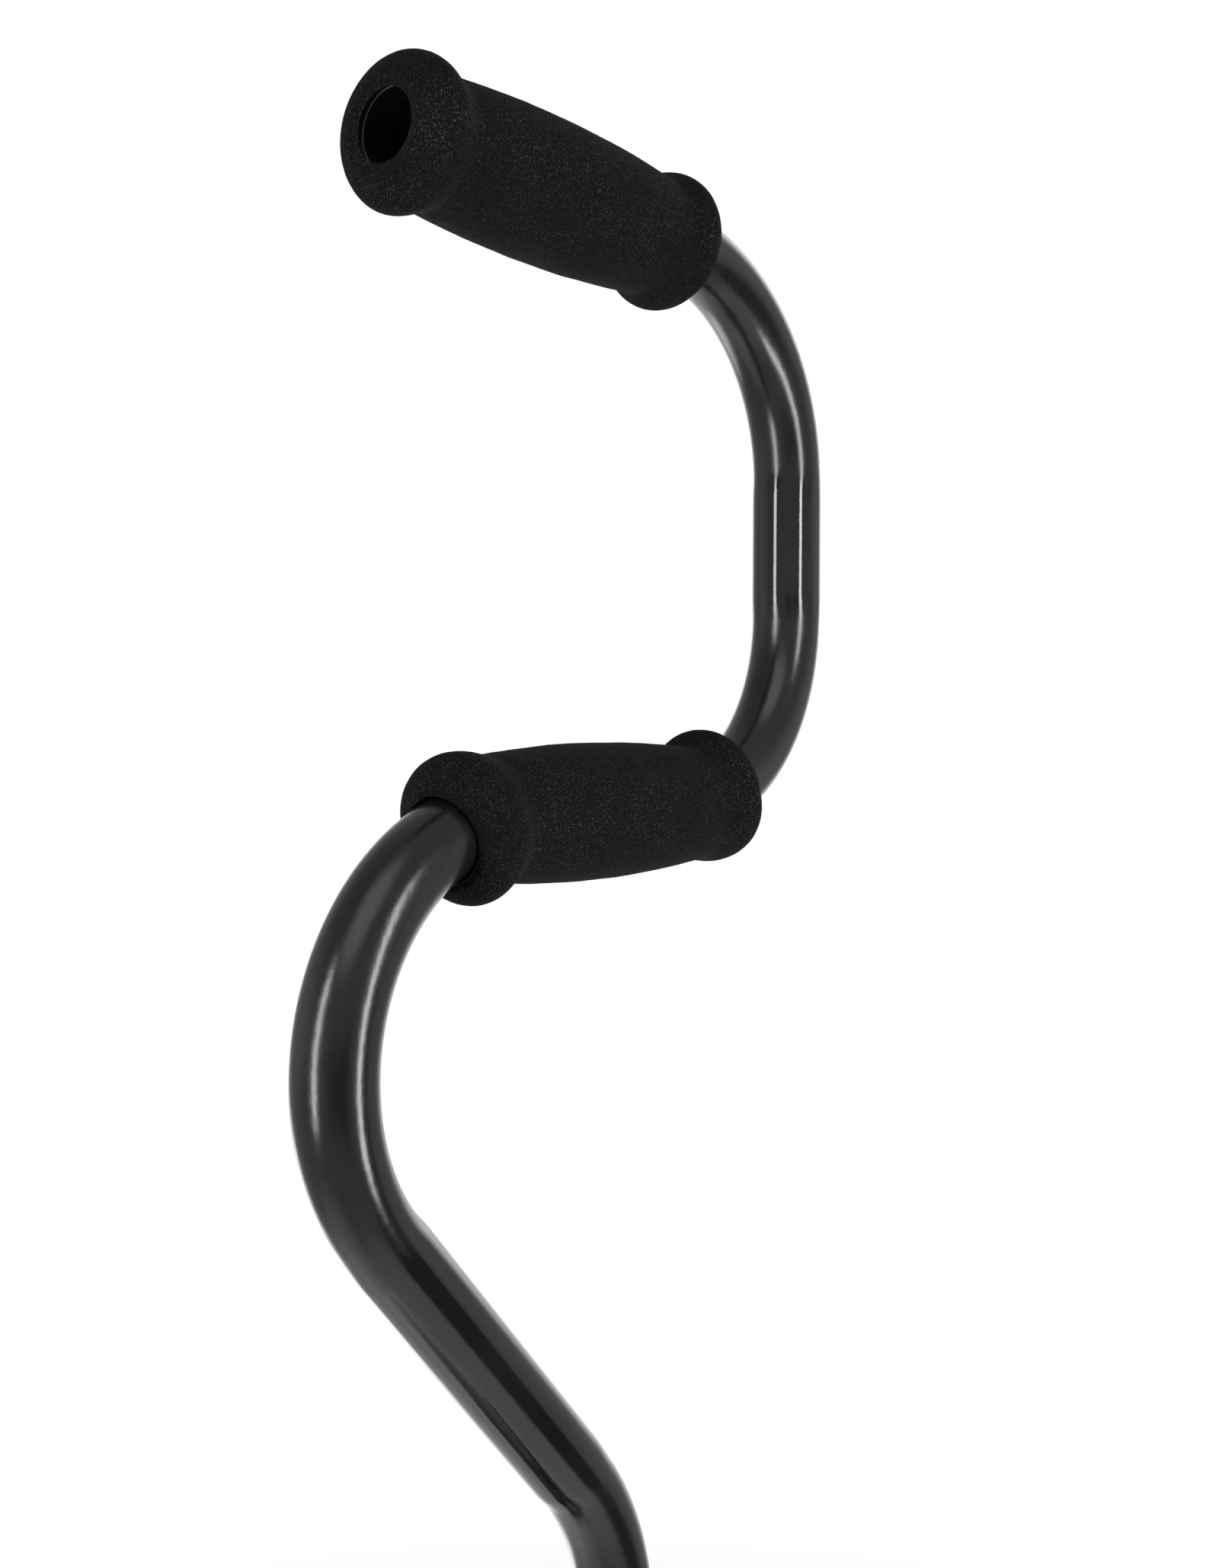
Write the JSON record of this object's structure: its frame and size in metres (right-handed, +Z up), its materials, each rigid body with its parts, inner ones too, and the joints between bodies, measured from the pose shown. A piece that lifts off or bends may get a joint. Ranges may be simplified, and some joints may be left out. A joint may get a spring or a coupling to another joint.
{
  "type": "quad walking cane",
  "caption": "Sit-to-stand quad walking cane: a bent tube with an upper and a lower foam grip, on a height-adjusting stem and a splayed base with rubber tips.",
  "frame": {"origin": "on the floor, on the axis of the shaft", "axes": "+Z up, +X the way the user walks, +Y to the user's left; both grips' near ends point to -X"},
  "size_m": [0.25, 0.205, 0.8897],
  "materials": {
    "gloss_black_enamel": "gloss",
    "gloss_black_base": "gloss",
    "black_foam": "matte closed-cell foam",
    "black_plastic": "satin",
    "grey_plastic": "satin",
    "white_plastic": "satin",
    "satin_steel": "satin",
    "bright_steel": "bright",
    "spring_steel": "satin",
    "zinc_steel": "zinc plated",
    "grey_rubber": "matte"
  },
  "bodies": {
    "base": {"stem_tube": "satin_steel", "stem_glide": "white_plastic", "button_spring": "spring_steel", "stem_plug": "zinc_steel", "hub_collar": "gloss_black_base", "hub_top_plate": "gloss_black_base", "hub_bottom_plate": "gloss_black_base", "hub_bolt": "zinc_steel", "hub_washer": "zinc_steel", "leg_front_left": "gloss_black_base", "leg_rear_left": "gloss_black_base", "leg_rear_right": "gloss_black_base", "leg_front_right": "gloss_black_base", "tip_front_left": "grey_rubber", "tip_rear_left": "grey_rubber", "tip_rear_right": "grey_rubber", "tip_front_right": "grey_rubber", "tip_washers": "zinc_steel", "leg_rivets": "bright_steel"},
    "handle": {"handle_tube": "gloss_black_enamel", "top_grip": "black_foam", "lower_grip": "black_foam", "lock_collar": "black_plastic"},
    "nut": {"lock_nut": "grey_plastic"},
    "button": {"snap_button": "bright_steel"}
  },
  "joints": [
    {"name": "height_slide", "type": "slide", "parent": "base", "child": "handle", "axis": [0, 0, 1], "range_m": [-0.0762, 0.0762]},
    {"name": "lock_nut_turn", "type": "hinge", "parent": "handle", "child": "nut", "pos_m": [0, 0, 0.20915], "axis": [0, 0, 1], "range_deg": [0, 120]},
    {"name": "button_press", "type": "slide", "parent": "base", "child": "button", "axis": [1, 0, 0], "range_m": [0, 0.0046], "stiffness_N_per_m": 2500, "springref_m": -0.002, "deforming": ["button_spring"]}
  ]
}
